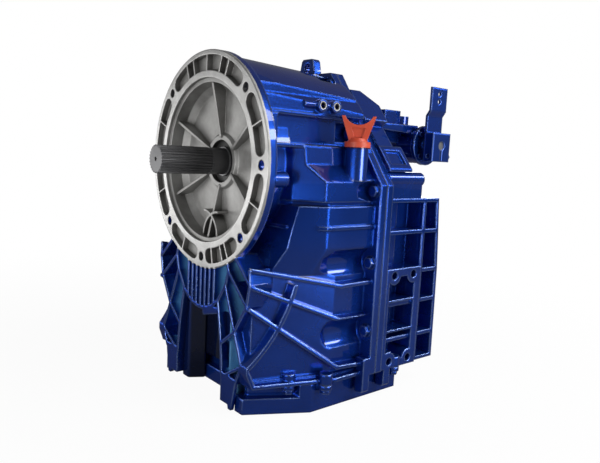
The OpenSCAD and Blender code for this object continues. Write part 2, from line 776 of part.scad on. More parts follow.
// Room for the gears, bearings and shafts inside the rear case
gear_room = rear_bearing_y - joint_rear - 1;
module rear_spaces() {
    for (at = shafts) {
        rod_y(at, joint_rear - 1, gear_room, drum_pitch_r + gear_m + 5);
        rod_y(at, joint_rear, rear_bearing_y + bearing_w - joint_rear, bearing_r);
        rod_y(at, joint_rear, rear_face + 10 - joint_rear, shaft_r + 4);
    }
    rod_y(output_at, joint_rear - 1, gear_room, output_pitch_r + gear_m + 8);
    translate([-sump_half_w, joint_rear - 1, -case_bottom - 1])
        cube([2 * sump_half_w, gear_room, case_bottom + 1 + sump_top]);
    rod_y(output_at, joint_rear, rear_bearing_y + output_bearing_w - joint_rear, output_bearing_r);
    rod_y(output_at, joint_rear, boss_end + 1 - joint_rear, output_shaft_r + 10);
    rod_y(output_at, boss_end - seal_depth, seal_depth + 1, output_bearing_r);
}
seal_depth = 12;

module rear_case() color(paint) difference() {
    union() {
        difference() {
            rear_shell();
            slope_cuts();
        }
        cheeks();
        side_pad(0);
        mirror([1, 0, 0]) side_pad(left_pad_back);
        shoulders();
        output_boss();
        tab(rib_half_w + 5, pad_y - 37, 16);
        pan_bosses(split_y, cheek_rear);
        for (at = shafts) rod_y(at, rear_face - eps, 8, bearing_r + 12);
    }
    along_x(-joint_half_w, 2 * joint_half_w) polygon([[rear_flange_y + 22, ridge[1] + 2],
        [rear_face + 1, ridge[1] - 25], [rear_face + 1, roof_z], [rear_flange_y + 22, roof_z]]);
    rear_spaces();
    for (at = bolt_places) rod_y(at, joint_rear - 1, 12, bolt_r + run_gap);
    pan_bolt_holes();
    pad_holes(0);
    mirror([1, 0, 0]) pad_holes(left_pad_back);
}

// Plan outline of the oil pan, shrunk by an inset
pan_half_w = wall_half_w - 3;
pan_front = 8;
pan_rear = rear_face + 9;
pan_toe_x = 106;
pan_crease_y = 107;
function pan_corner(inset) = [127 - inset / 2, pan_front + inset];
function pan_crease(inset) = [pan_half_w - inset, pan_crease_y];
module pan_plan(inset = 0) both_sides_flat() polygon([
    [0, cell_depth + 3 + inset], [pan_toe_x - 14, cell_depth + 3 + inset],
    [pan_toe_x + inset / 3, pan_front + inset], pan_corner(inset), pan_crease(inset),
    [pan_half_w - 2 - inset, pan_rear - inset], [0, pan_rear - inset]]);

// Half width of the pan's slanting corner at a place along it
function pan_edge(y, inset) = let (from = pan_corner(inset), to = pan_crease(inset))
    from[0] + (to[0] - from[0]) * (y - from[1]) / (to[1] - from[1]);

// Rim of the pan: set in at the front, full width further back
full_wall_y = 90;
module pan_rim(inset = 0) {
    pan_plan(pan_neck + inset);
    intersection() {
        pan_plan(inset);
        translate([-joint_half_w, full_wall_y]) square([2 * joint_half_w, pan_rear]);
    }
}

// Places of the pan bolts, in X and Y, with the front ones clear of the slanting corner
pan_head_r = 9;
pan_bolt_y = [76, 128, 292];
pan_bolt_x = [
    pan_edge(pan_bolt_y[0], pan_neck) + pan_head_r + free_gap, joint_half_w - 12, joint_half_w - 12];
pan_bolt_places = [for (s = [-1, 1], i = [0:2]) [s * pan_bolt_x[i], pan_bolt_y[i]]];
ear_r = pan_boss_r;
ear_len = 24;

module oil_pan() color(paint) difference() {
    union() {
        along_z(floor_z, pan_step_z - floor_z) pan_plan();
        along_z(floor_z, pan_h) pan_rim();
        along_z(pan_top - ear_t, ear_t) for (at = pan_bolt_places) {
            translate(at) circle(r = ear_r);
            translate(at - [at[0] > 0 ? ear_len : 0, ear_r - 1]) square([ear_len, 2 * ear_r - 2]);
        }
    }
    along_z(floor_z + pan_wall, pan_h) pan_plan(pan_neck + pan_wall);
    for (at = pan_bolt_places)
        translate([at[0], at[1], pan_top - ear_t - 1]) cylinder(h = ear_t + 2, r = bolt_r + free_gap);
    translate([0, pan_rear - 40, floor_z + drain_z]) rotate([-90, 0, 0]) cylinder(h = 50, r = drain_r);
}

module pan_gasket() color(black) along_z(pan_top, gasket_t) difference() {
    pan_rim(0.5);
    pan_plan(pan_neck + pan_wall);
}

// Drain plug at the rear of the pan
drain_r = 8;
drain_z = 14;
drain_len = 24;
module drain_plug() color(steel) translate([0, pan_rear, floor_z + drain_z]) rotate([-90, 0, 0]) {
    cylinder(h = 8, r = drain_r + 4, $fn = 6);
    translate([0, 0, -drain_len]) cylinder(h = drain_len + 1, r = drain_r - run_gap);
}

module pan_bolts() color(paint) for (at = pan_bolt_places) translate([at[0], at[1], pan_top - ear_t]) {
    translate([0, 0, -7]) cylinder(h = 7, r = pan_head_r, $fn = 6);
    translate([0, 0, -eps]) cylinder(h = ear_t + gasket_t + 5, r = bolt_r - run_gap);
}

module input_seal() color(black) ring_y(input_at, seal_y, seal_t, seal_r - run_gap, shaft_r + run_gap);

// Bearing with a groove between its inner and outer rings
module bearing(at, y0, w, r_out, r_in) color(steel) difference() {
    ring_y(at, y0, w, r_out - run_gap, r_in + run_gap);
    ring_y(at, y0 - 1, 4, r_out - 4, r_in + 5);
    ring_y(at, y0 + w - 3, 4, r_out - 4, r_in + 5);
}
module input_front_bearing() bearing(input_at, front_bearing_y, bearing_w, bearing_r, shaft_r);
module input_rear_bearing() bearing(input_at, rear_bearing_y, bearing_w, bearing_r, shaft_r);
module reverse_front_bearing() bearing(reverse_at, front_bearing_y, bearing_w, bearing_r, shaft_r);
module reverse_rear_bearing() bearing(reverse_at, rear_bearing_y, bearing_w, bearing_r, shaft_r);
module output_front_bearing() output_bearing(joint_front - output_bearing_w);
module output_rear_bearing() output_bearing(rear_bearing_y);
module output_bearing(y0) bearing(output_at, y0, output_bearing_w, output_bearing_r, output_shaft_r);
module output_seal() color(black)
    ring_y(output_at, hub_start, seal_depth, output_bearing_r - run_gap, coupling_hub_r + run_gap);

// Outline of the fine input spline
spline_tooth = [[-0.36, 0], [-0.16, 1], [0.16, 1], [0.36, 0]];
spline_depth = 2.2;
module spline_outline() polygon([for (k = [0:spline_teeth - 1], p = spline_tooth)
    around(spline_r - spline_depth * (1 - p[1]), (k + p[0]) * 360 / spline_teeth)]);

shaft_end = rear_bearing_y + bearing_w;
pump_shaft_r = shaft_r - 9;
module input_shaft() color(black) {
    difference() {
        union() {
            along_y(-nose_len, nose_len + 6) spline_outline();
            rod_y(input_at, 6 - eps, seal_y - 6, spline_r - 0.5);
            rod_y(input_at, seal_y - 4, shaft_end - seal_y + 4, shaft_r);
            rod_y(input_at, shaft_end - eps, rear_face + 24 - shaft_end, pump_shaft_r);
        }
        rod_y(input_at, -nose_len - 1, 11, 3);
    }
}

// Clutch drum with its gear, open to the rear
module clutch_drum(at, phase) color(steel) {
    gear(at, drum_teeth, phase, drum_y, drum_gear_w, shaft_r + run_gap);
    ring_y(at, drum_y + drum_gear_w - eps, drum_len - drum_gear_w, drum_r, drum_r - drum_wall);
}
module forward_clutch_drum() clutch_drum(input_at, drum_dir);
module reverse_clutch_drum() clutch_drum(reverse_at, drum_dir + 180 + 180 / drum_teeth);

// Stack of clutch plates inside a drum
plate_count = 7;
plate_t = 3;
plate_pitch = 6;
module clutch_plates(at) color(raw_cast) for (i = [0:plate_count - 1])
    ring_y(at, drum_y + drum_gear_w + 8 + i * plate_pitch, plate_t, drum_r - drum_wall - run_gap,
        drum_r - drum_wall - plate_w);
module forward_clutch_plates() clutch_plates(input_at);
module reverse_clutch_plates() clutch_plates(reverse_at);

// Pinion that floats on a shaft, with its hub reaching into the clutch
hub_y = drum_y + drum_gear_w + 4;
module pinion(at, phase) color(steel) {
    gear(at, pinion_teeth, phase, pinion_y, pinion_w, shaft_r + run_gap);
    ring_y(at, hub_y, pinion_y - hub_y + eps, pinion_hub_r, shaft_r + run_gap);
}
function mesh_phase(dir) =
    dir + 180 - (output_phase - dir) * output_teeth / pinion_teeth + 180 / pinion_teeth;
module forward_pinion() pinion(input_at, mesh_phase(90));
module reverse_pinion() pinion(reverse_at, mesh_phase(gear_dir));

module reverse_shaft() color(steel)
    rod_y(reverse_at, front_bearing_y - 4, rear_bearing_y + bearing_w - front_bearing_y + 6, shaft_r);

output_start = joint_front - output_bearing_w;
nut_t = 14;
nut_y = coupling_y + coupling_t - 4;
nut_thread_r = output_shaft_r - 8;
module output_shaft() color(steel) {
    rod_y(output_at, output_start, nut_y - output_start, output_shaft_r);
    rod_y(output_at, nut_y - 1, nut_t + 4, nut_thread_r);
}

module output_gear() color(steel) difference() {
    gear(output_at, output_teeth, output_phase, output_gear_y, output_gear_w, output_shaft_r + run_gap);
    ring_y(output_at, output_gear_y - 1, 9, output_pitch_r - 16, output_shaft_r + 16);
    ring_y(output_at, output_gear_y + output_gear_w - 8, 9, output_pitch_r - 16, output_shaft_r + 16);
}

coupling_hub_r = output_shaft_r + 6;
hub_start = boss_end - seal_depth;
module output_coupling() color(paint) difference() {
    union() {
        rod_y(output_at, coupling_y, coupling_t, coupling_r);
        rod_y(output_at, hub_start, coupling_y - hub_start + 1, coupling_hub_r);
    }
    rod_y(output_at, hub_start - 1, coupling_y + coupling_t - hub_start + 2, output_shaft_r + run_gap);
    rod_y(output_at, nut_y, 5, output_shaft_r + 16);
    for (a = [0:60:300])
        rod_y(output_at + around(coupling_bolt_r, a), coupling_y - 1, coupling_t + 2, coupling_hole_d / 2);
}

module output_nut() color(steel) difference() {
    translate([output_at[0], nut_y, output_at[1]]) rotate([-90, 0, 0])
        cylinder(h = nut_t, r = output_shaft_r + 8, $fn = 6);
    rod_y(output_at, nut_y - 1, nut_t + 2, nut_thread_r + run_gap);
}

// Gear pump on the rear end of the input shaft
pump_len = 34;
module oil_pump() color(paint) difference() {
    rod_y(input_at, rear_face + 8, pump_len, bearing_r + 4);
    rod_y(input_at, rear_face + 7, pump_len - 7, bearing_r - 8);
}
module pump_rotor() color(steel) along_y(rear_face + 10, 12) difference() {
    circle(r = bearing_r - 12);
    for (a = [0:60:300]) rotate(a) translate([bearing_r - 12, 0]) circle(r = 5);
    circle(r = pump_shaft_r + run_gap);
}

module reverse_end_cap() color(paint) {
    rod_y(reverse_at, rear_face + 8, 8, bearing_r + 4);
    rod_y(reverse_at, rear_face + 16 - eps, 4, bearing_r - 12);
}

// Hexagon heads round the end cap and the pump
cap_bolt_r = bearing_r - 3;
cap_head = 5;
module cap_bolts() color(steel) for (k = [0:5]) {
    cap_head_y(reverse_at + around(cap_bolt_r, 30 + 60 * k), rear_face + 16);
    cap_head_y(around(cap_bolt_r, 60 * k), rear_face + 8 + pump_len);
}
module cap_head_y(at, y0)
    translate([at[0], y0, at[1]]) rotate([-90, 0, 0]) cylinder(h = cap_head, r = cap_head, $fn = 6);

strainer_at = [-110, 90, floor_z + pan_wall];
strainer_r = 22;
module oil_strainer() color(raw_cast) difference() {
    translate(strainer_at) cylinder(h = strainer_r + 2, r = strainer_r);
    translate(strainer_at + [0, 0, 4]) cylinder(h = strainer_r + 2, r = strainer_r - 4);
}

// Control valve housing behind the roof, with a flat deck
valve_x0 = -30;
deck_x = 112;
deck_z = lever_z + cover_r - 1;
module valve_body() color(paint) difference() {
    union() {
        along_x(valve_x0, deck_x - valve_x0)
            polygon([
                [rear_face, deck_z - 12], [rear_face, deck_z], [lever_y - 14, deck_z],
                [lever_y, lever_z + 20]]);
        along_x(valve_x0, deck_x - 28 - valve_x0)
            polygon([[rear_face, 52], [rear_face, deck_z], [lever_y - 14, deck_z], [lever_y, lever_z]]);
        rod_x([lever_y, lever_z], valve_x0, cover_x - 8 - valve_x0, cover_r - 3);
    }
    rod_x([lever_y, lever_z], cover_x - 60, 61, lever_shaft_r + run_gap);
}

module valve_cover() color(paint) difference() {
    union() {
        rod_x([lever_y, lever_z], cover_x - 8, 8, cover_r);
        rod_x([lever_y, lever_z], cover_x - eps, 4, 16);
    }
    rod_x([lever_y, lever_z], cover_x - 9, 20, lever_shaft_r + run_gap);
}

module valve_cover_screws() color(paint) for (a = [45:90:315])
    rod_x([lever_y + (cover_r - 8) * cos(a), lever_z + (cover_r - 8) * sin(a)], cover_x, 4, 5);

// Fittings on the valve deck
module pressure_block() color(paint) translate([60, rear_face + 16, deck_z]) cube([44, 43, 25]);

module pressure_cap() color(paint) translate([94, rear_face + 75, deck_z]) cylinder(h = 16, r = 13);

module vent_plug() color(brass) translate([44, rear_face + 36, deck_z]) {
    cylinder(h = 28, r = 6);
    translate([0, 0, 28 - eps]) cylinder(h = 12, r = 10, $fn = 6);
}

// Lever shaft, clamp and plate
lever_x = cover_x + 11;
lever_top = lever_z + lever_len;
lever_crank = 7;
pinch_at = [lever_x + lever_t + 10, lever_y, lever_z - 20];
pinch_r = 4;
module control_shaft() color(steel) rod_x([lever_y, lever_z], cover_x - 58, 92, lever_shaft_r);

module lever_plate() {
    along_y(lever_y - lever_w / 2, lever_w) polygon([
        [lever_x, lever_z - 28], [lever_x, lever_z + 56], [lever_x + lever_crank, lever_z + 66],
        [lever_x + lever_crank, lever_top], [lever_x + lever_crank + lever_t, lever_top],
        [lever_x + lever_crank + lever_t, lever_z + 65], [lever_x + lever_t, lever_z + 55],
        [lever_x + lever_t, lever_z - 28]]);
    translate([lever_x + lever_t - eps, lever_y - 26, lever_z - 30]) cube([20, 51, 54]);
}

module shift_lever() color(paint) difference() {
    lever_plate();
    rod_x([lever_y, lever_z], lever_x - 1, 40, lever_shaft_r + run_gap);
    translate([lever_x - 1, lever_y - 1.5, lever_z - 40]) cube([40, 3, 38]);
    for (z = [lever_top - 12, lever_top - 26]) rod_x([lever_y, z], lever_x, 30, lever_hole_d / 2);
    translate(pinch_at - [0, 40, 0]) rotate([-90, 0, 0]) cylinder(h = 80, r = pinch_r + run_gap);
}

module pinch_bolt() color(paint) translate(pinch_at + [0, 25, 0]) rotate([-90, 0, 0]) {
    cylinder(h = 6, r = 2 * pinch_r, $fn = 6);
    translate([0, 0, -46]) cylinder(h = 47, r = pinch_r - run_gap);
}

// Winged cap of the dipstick
cap_h = 9;
wing_h = 41;
wing_t = 16;
wing_half_w = [14, 28];
grip_depth = 2;
module dipstick_cap() color(orange) translate([filler_x, filler_y, filler_z]) {
    cylinder(h = cap_h, r = filler_r + 3);
    translate([0, 0, cap_h - eps]) cylinder(h = 6, r1 = filler_r - 1, r2 = filler_r - 5);
    rotate([90, 0, 45]) translate([0, cap_h, -wing_t / 2]) difference() {
        linear_extrude(wing_t) difference() {
            both_sides_flat() polygon([[0, 0], [wing_half_w[0], 0], [wing_half_w[1], wing_h], [0, wing_h]]);
            translate([0, wing_h + 11]) circle(r = 25);
        }
        for (z = [-1, wing_t - grip_depth]) translate([0, 0, z]) linear_extrude(grip_depth + 1)
            polygon([[-6, 6], [6, 6], [11, 22], [-11, 22]]);
    }
}

module dipstick() color(steel)
    translate([stick_x, filler_y, filler_z - stick_len]) cylinder(h = stick_len, r = stick_r);

front_case();
rear_case();
case_gasket();
case_bolts();
oil_pan();
pan_gasket();
pan_bolts();
drain_plug();
input_seal();
input_front_bearing();
input_rear_bearing();
reverse_front_bearing();
reverse_rear_bearing();
output_front_bearing();
output_rear_bearing();
output_seal();
input_shaft();
forward_clutch_drum();
forward_clutch_plates();
forward_pinion();
reverse_shaft();
reverse_clutch_drum();
reverse_clutch_plates();
reverse_pinion();
output_shaft();
output_gear();
output_coupling();
output_nut();
oil_pump();
pump_rotor();
reverse_end_cap();
cap_bolts();
oil_strainer();
valve_body();
valve_cover();
valve_cover_screws();
pressure_block();
pressure_cap();
vent_plug();
control_shaft();
shift_lever();
pinch_bolt();
dipstick_cap();
dipstick();
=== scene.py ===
# %% [markdown]
# Marine gearbox. The CAD model brings every casting, shaft, bolt and lever at its real size.
# This lesson gives those solids their finishes: candy blue enamel, bare cast aluminium in the bell,
# black oxide on the splined nose and an orange cap. Nothing of the CAD is moved.

import json
import math

import bmesh
import bpy
from mathutils import Matrix, Vector


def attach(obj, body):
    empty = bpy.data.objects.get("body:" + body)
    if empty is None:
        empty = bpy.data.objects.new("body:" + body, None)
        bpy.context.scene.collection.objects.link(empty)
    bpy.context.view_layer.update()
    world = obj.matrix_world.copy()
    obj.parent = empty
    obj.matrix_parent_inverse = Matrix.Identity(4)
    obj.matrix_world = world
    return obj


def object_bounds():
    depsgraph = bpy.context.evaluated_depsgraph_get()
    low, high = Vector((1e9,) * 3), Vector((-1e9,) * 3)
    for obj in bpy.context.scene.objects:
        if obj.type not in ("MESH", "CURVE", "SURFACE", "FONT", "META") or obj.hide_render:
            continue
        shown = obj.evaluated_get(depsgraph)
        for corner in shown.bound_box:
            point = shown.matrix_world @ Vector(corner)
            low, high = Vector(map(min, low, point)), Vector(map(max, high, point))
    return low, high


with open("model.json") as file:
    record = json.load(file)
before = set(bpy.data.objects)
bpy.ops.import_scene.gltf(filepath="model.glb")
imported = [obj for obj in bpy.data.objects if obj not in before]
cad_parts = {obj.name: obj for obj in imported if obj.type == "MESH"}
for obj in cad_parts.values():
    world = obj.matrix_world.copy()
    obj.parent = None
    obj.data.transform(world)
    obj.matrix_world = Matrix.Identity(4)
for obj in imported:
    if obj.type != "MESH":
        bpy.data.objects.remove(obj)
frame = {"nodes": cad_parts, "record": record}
cad_low, cad_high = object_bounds()
nodes = frame["nodes"]
scene = bpy.context.scene
print("loaded", len(nodes), "pieces, box", [round(x, 3) for x in cad_high - cad_low])

# %% [markdown]
# The photograph was taken with a normal lens from the front right, a little above the flange's middle.
# Four values fix that view: the turn round the gearbox, the height angle, a slight roll of the camera
# and the place it stands. A matrix built from the three camera directions is exact, while a tracking
# constraint would lose the roll.

# %% Camera
TURN = math.radians(49.9)
RISE = math.radians(7.47)
ROLL = math.radians(2.93)
STAND = Vector((0.87637, -0.52068, 0.02101))
LENS = 36.0


def camera_axes(turn, rise, roll):
    """Right, up and back directions of a camera that looks at the gearbox."""
    back = Vector((math.sin(turn) * math.cos(rise), -math.cos(turn) * math.cos(rise), math.sin(rise)))
    level = Vector((math.cos(turn), math.sin(turn), 0))
    upright = back.cross(level)
    right = level * math.cos(roll) + upright * math.sin(roll)
    up = upright * math.cos(roll) - level * math.sin(roll)
    return right, up, back


lens = bpy.data.cameras.new("photo_lens")
lens.lens = LENS
lens.sensor_width = LENS
camera = bpy.data.objects.new("photo_camera", lens)
scene.collection.objects.link(camera)
camera_turn = Matrix(camera_axes(TURN, RISE, ROLL)).transposed().to_4x4()
camera.matrix_world = Matrix.Translation(STAND) @ camera_turn
scene.camera = camera
print("camera stands at", [round(x, 3) for x in STAND])

# %% [markdown]
# Shader maths could be laid out node by node, but it reads best as sums. This class holds one socket of a
# node tree. Adding, subtracting, multiplying or comparing two of them makes a Math node, and the method
# called node makes any other kind.

# %% Sockets that can be added up


class Wire:
    """One output socket of a node tree, for use in Python sums."""

    def __init__(self, tree, socket=None):
        self.tree = tree
        self.socket = socket

    def node(self, kind, settings=None, inputs=None, output=0):
        """Adds a node, sets it up, then gives its sockets values or links."""
        made = self.tree.nodes.new(kind)
        for name, value in (settings or {}).items():
            setattr(made, name, value)
        for key, value in (inputs or {}).items():
            if isinstance(value, Wire):
                self.tree.links.new(value.socket, made.inputs[key])
            else:
                made.inputs[key].default_value = value
        return Wire(self.tree, made.outputs[output])

    def sibling(self, output):
        """Another output of the node that this socket belongs to."""
        return Wire(self.tree, self.socket.node.outputs[output])

    def maths(self, operation, first, second=0.0, clamp=False):
        """One Math node."""
        settings = {"operation": operation, "use_clamp": clamp}
        return self.node("ShaderNodeMath", settings, {0: first, 1: second})

    def __add__(self, other):
        return self.maths("ADD", self, other)

    __radd__ = __add__

    def __sub__(self, other):
        return self.maths("SUBTRACT", self, other)

    def __rsub__(self, other):
        return self.maths("SUBTRACT", other, self)

    def __mul__(self, other):
        return self.maths("MULTIPLY", self, other)

    __rmul__ = __mul__

    def __lt__(self, other):
        return self.maths("LESS_THAN", self, other)

    def __gt__(self, other):
        return self.maths("GREATER_THAN", self, other)

    def clamp(self):
        """The value held between 0 and 1."""
        return self.maths("ADD", self, 0.0, clamp=True)

    def steps(self, low, high):
        """A smooth climb from 0 at low to 1 at high."""
        settings = {"interpolation_type": "SMOOTHSTEP"}
        return self.node("ShaderNodeMapRange", settings, {"Value": self, "From Min": low, "From Max": high})

    def noise(self, scale, detail=3.0, rough=0.5):
        """Noise over the surface, about 0 to 1."""
        inputs = {"Vector": self, "Scale": scale, "Detail": detail, "Roughness": rough}
        return self.node("ShaderNodeTexNoise", {}, inputs)

    def blend(self, low, high):
        """A colour between two others, by this value."""
        picked = {"data_type": "RGBA"}
        return self.node("ShaderNodeMix", picked, {0: self, 6: colour_of(low), 7: colour_of(high)}, output=2)


def colour_of(value):
    """A socket as it is, or three numbers as an opaque colour."""
    return value if isinstance(value, Wire) else (*value, 1.0)


print("sockets can be added up")

# %% [markdown]
# Each finish needs the place of a point on the gearbox, a Principled shader and soft edges. A real casting
# has no sharp edge, and thousands of fillets would make the mesh heavy. The Bevel node rounds the normals
# instead, and the shape stays as it is in the CAD.

# %% Helpers for every finish
EDGE_SAMPLES = 12
AIR_SAMPLES = 4
ORIGIN = (0.0, 0.0, 0.0)
ACROSS_SHAFT = (1.0, 0.0, 1.0)


def new_look(name):
    """An empty material, its tree and its output node."""
    look = bpy.data.materials.new(name)
    look.use_nodes = True
    tree = look.node_tree
    tree.nodes.clear()
    output = tree.nodes.new("ShaderNodeOutputMaterial")
    return look, Wire(tree), output


def place_of(wire):
    """Where a point of the surface lies in the gearbox's own frame, in metres."""
    return wire.node("ShaderNodeTexCoord", output=3)


def parts_of(wire, place):
    """The three parts of a place: to the side, along the shaft and up."""
    side = wire.node("ShaderNodeSeparateXYZ", {}, {0: place})
    return side, side.sibling(1), side.sibling(2)


def apart(wire, first, second=ORIGIN):
    """How far apart two places are."""
    return wire.node("ShaderNodeVectorMath", {"operation": "DISTANCE"}, {0: first, 1: second}, output=1)


def seen_along_shaft(wire, place):
    """A place moved along the shaft until it lies level with the flange face."""
    return wire.node("ShaderNodeVectorMath", {"operation": "MULTIPLY"}, {0: place, 1: ACROSS_SHAFT})


def soft_edges(wire, radius):
    """Normals that round every edge off."""
    return wire.node("ShaderNodeBevel", {"samples": EDGE_SAMPLES}, {"Radius": radius})


def open_air(wire, reach):
    """1 where nothing stands near the surface, less in corners and recesses."""
    return wire.node("ShaderNodeAmbientOcclusion", {"samples": AIR_SAMPLES}, {"Distance": reach}, output=1)


def rounded(wire, radius, height, depth, strength):
    """Rounded edges with a fine relief on top."""
    relief = {"Height": height, "Distance": depth, "Strength": strength, "Normal": soft_edges(wire, radius)}
    return wire.node("ShaderNodeBump", {}, relief)


def surface(wire, values):
    """A Principled shader with these sockets."""
    return wire.node("ShaderNodeBsdfPrincipled", {}, values)


def close(wire, output, shader):
    """Joins the finished shader to the material's output."""
    wire.tree.links.new(shader.socket, output.inputs["Surface"])


print("shader helpers ready")

# %% [markdown]
# The outer edges of the ribs are painted paler, a painted highlight in the base colour that stands for the
# glint of the lamps along each rounded edge. A rounded normal leans away from the flat one only near an edge,
# which finds both edges and corners. Ambient occlusion then leaves the inner corners out, because they are
# shut in.

# %% Painted highlights along the edges
CAST_EDGE = 0.006
EDGE_LEAN = (0.03, 0.25)
EDGE_OPEN = (0.7, 0.95)


# The outer edges are painted paler in the base colour, a painted highlight.
def painted_highlight_mask(wire, radius):
    """1 along outer edges, 0 in corners and on flats."""
    flat_face = wire.node("ShaderNodeNewGeometry", output=1)
    both = {0: soft_edges(wire, radius), 1: flat_face}
    agreement = wire.node("ShaderNodeVectorMath", {"operation": "DOT_PRODUCT"}, both, output=1)
    return (1 - agreement).steps(*EDGE_LEAN) * open_air(wire, 2 * radius).steps(*EDGE_OPEN)


print("edges within", CAST_EDGE, "m count as thin")

# %% [markdown]
# The enamel on the real case is a deep blue with a little metal in it, under a thick clear gloss.
# Fine flakes change the colour from grain to grain, and the clear coat has a faint orange-peel wave.
# The Principled shader's coat does the gloss, so the blue below can stay soft and metallic.

# %% Blue enamel
BLUE_DEEP = (0.003, 0.018, 0.13)
BLUE_LIT = (0.01, 0.066, 0.44)
BLUE_SHEEN = (0.12, 0.25, 0.8, 1.0)
BLUE_PAINTED_HIGHLIGHT = (0.3, 0.42, 0.72)
SHADE_DEEP = (0.003, 0.007, 0.026)
SHADE_LIT = (0.009, 0.016, 0.06)
CELL_LIGHT_DEEP = (0.1, 0.3, 0.52)
CELL_LIGHT_PALE = (0.16, 0.44, 0.74)
HIGHLIGHT_SHARE = 0.7
FLAKE_SCALE = 2600.0
FLAKE_SHARE = 0.65
CLOUD_SCALE = 9.0
CLOUD_SHARE = 0.5
ENAMEL_SHIFT = -0.08
PEEL_COARSE = 160.0
PEEL_FINE = 480.0
PEEL_FINE_SHARE = 0.3
PEEL_DEPTH = 0.0004
PEEL_STRENGTH = 0.12
ENAMEL_METAL = 0.75
ENAMEL_ROUGH = 0.22
ENAMEL_ROUGH_CHANGE = 0.1


def enamel_shader(wire, painted_light=None, shaded=None):
    """Candy blue enamel with painted edge highlights, painted light by the first mask and painted shade by
    the second.
    """
    place = place_of(wire)
    flakes = place.noise(FLAKE_SCALE, detail=1.0)
    clouds = place.noise(CLOUD_SCALE, detail=4.0)
    peel = place.noise(PEEL_COARSE, detail=2.0) + PEEL_FINE_SHARE * place.noise(PEEL_FINE, detail=2.0)
    tone = (FLAKE_SHARE * flakes + CLOUD_SHARE * clouds + ENAMEL_SHIFT).clamp()
    colour = tone.blend(BLUE_DEEP, BLUE_LIT)
    # Painted highlight: the base colour turns paler along outer edges.
    colour = (HIGHLIGHT_SHARE * painted_highlight_mask(wire, CAST_EDGE)).blend(colour, BLUE_PAINTED_HIGHLIGHT)
    metallic = ENAMEL_METAL
    if painted_light is not None:
        # Painted light in the cells: a paler blue without metal flakes.
        colour = painted_light.blend(colour, tone.blend(CELL_LIGHT_DEEP, CELL_LIGHT_PALE))
        metallic = ENAMEL_METAL * (1 - painted_light)
    if shaded is not None:
        # Painted shade in the gap between the legs: a much darker blue.
        colour = shaded.blend(colour, tone.blend(SHADE_DEEP, SHADE_LIT))
    return surface(wire, {
        "Base Color": colour,
        "Metallic": metallic,
        "Roughness": ENAMEL_ROUGH + ENAMEL_ROUGH_CHANGE * clouds,
        "Specular IOR Level": 0.2,
        "Specular Tint": BLUE_SHEEN,
        "Coat Weight": 0.9,
        "Coat IOR": 1.55,
        "Coat Roughness": 0.03,
        "Normal": rounded(wire, CAST_EDGE, peel, PEEL_DEPTH, PEEL_STRENGTH)})


enamel, wire, output = new_look("blue_enamel")
close(wire, output, enamel_shader(wire))
print("made", enamel.name)

# %% [markdown]
# The flange and the bowl of the bell are left bare. Most of that metal is as cast: pale, a little stained and
# slightly grainy. It is also painted darker in the recesses, a painted shade. The flange face itself was
# turned on a lathe, which leaves fine rings round the shaft's line. A sine of the distance from that line
# draws them.

# %% Bare casting
CAST_GREY = (0.19, 0.186, 0.178)
CAST_PALE = (0.56, 0.558, 0.55)
CAST_RECESS_SHADE = (0.12, 0.117, 0.112)
RECESS_SHADE_REACH = 0.03
RECESS_SHADE_OPEN = (0.1, 0.85)
GRAIN_SCALE = 900.0
GRAIN_SHARE = 0.4
STAIN_SCALE = 22.0
STAIN_SHARE = 1.3
TURNED_SHARE = 0.25
CAST_SHIFT = -0.36
TURNED_DEPTH = 0.0012
TURNED_SMOOTH = 0.8
RING_RATE = 5200.0
RING_SHARE = 0.15
BARE_EDGE = 0.0025
BARE_DEPTH = 0.0004
BARE_STRENGTH = 0.35
BARE_METAL = 0.85
BARE_ROUGH = 0.5
STAIN_ROUGH = 0.15
TURNED_GLOSS = 0.16


def bare_shader(wire):
    """Cast aluminium, with turning rings on the flange face and painted shade in the recesses."""
    place = place_of(wire)
    along = parts_of(wire, place)[1]
    turned = along < TURNED_DEPTH
    rings = wire.maths("SINE", apart(wire, seen_along_shaft(wire, place)) * RING_RATE)
    grain = place.noise(GRAIN_SCALE, detail=4.0, rough=0.6)
    stains = place.noise(STAIN_SCALE, detail=5.0, rough=0.6)
    # Painted shade: the metal turns darker where other surfaces stand close.
    unshaded = open_air(wire, RECESS_SHADE_REACH).steps(*RECESS_SHADE_OPEN)
    tone = (GRAIN_SHARE * grain + STAIN_SHARE * stains + TURNED_SHARE * turned + CAST_SHIFT).clamp()
    relief = grain * (1 - TURNED_SMOOTH * turned) + RING_SHARE * turned * rings
    return surface(wire, {
        "Base Color": unshaded.blend(CAST_RECESS_SHADE, tone.blend(CAST_GREY, CAST_PALE)),
        "Metallic": BARE_METAL,
        "Roughness": (BARE_ROUGH + STAIN_ROUGH * stains - TURNED_GLOSS * turned).clamp(),
        "Normal": rounded(wire, BARE_EDGE, relief, BARE_DEPTH, BARE_STRENGTH)})


print("bare metal within", TURNED_DEPTH, "m of the flange face is turned")

# %% [markdown]
# One casting carries both finishes. It could be cut in two, but a mask from the place alone keeps it whole.
# The flange's front, the pockets in it and the bowl are bare, and everything behind the flange is painted.
# Paint ran into three of the bolt holes, and the two port faces are spot-faced bright.

# %% Where the front casting is bare
FLANGE_R = 0.180
FLANGE_MARGIN = 0.001
RIM_WIDTH = 0.006
EDGE_BARE = 0.004
RAGGED_EDGE = 0.0015
RAGGED_SCALE = 120.0
POCKET_DEEP = 0.0125
BOWL_R = 0.1372
BOWL_DEEP = 0.060
BOWL_LIP = 0.01
HOLE_CIRCLE_R = 0.162
HOLE_TURNS = (0, 225, 315)
HOLE_R = 0.0082
HOLE_LIP = 0.0015
PORT_FACES = ((0.146, 0.130, 0.098), (0.146, 0.160, 0.098))
PORT_FACE_R = 0.0068


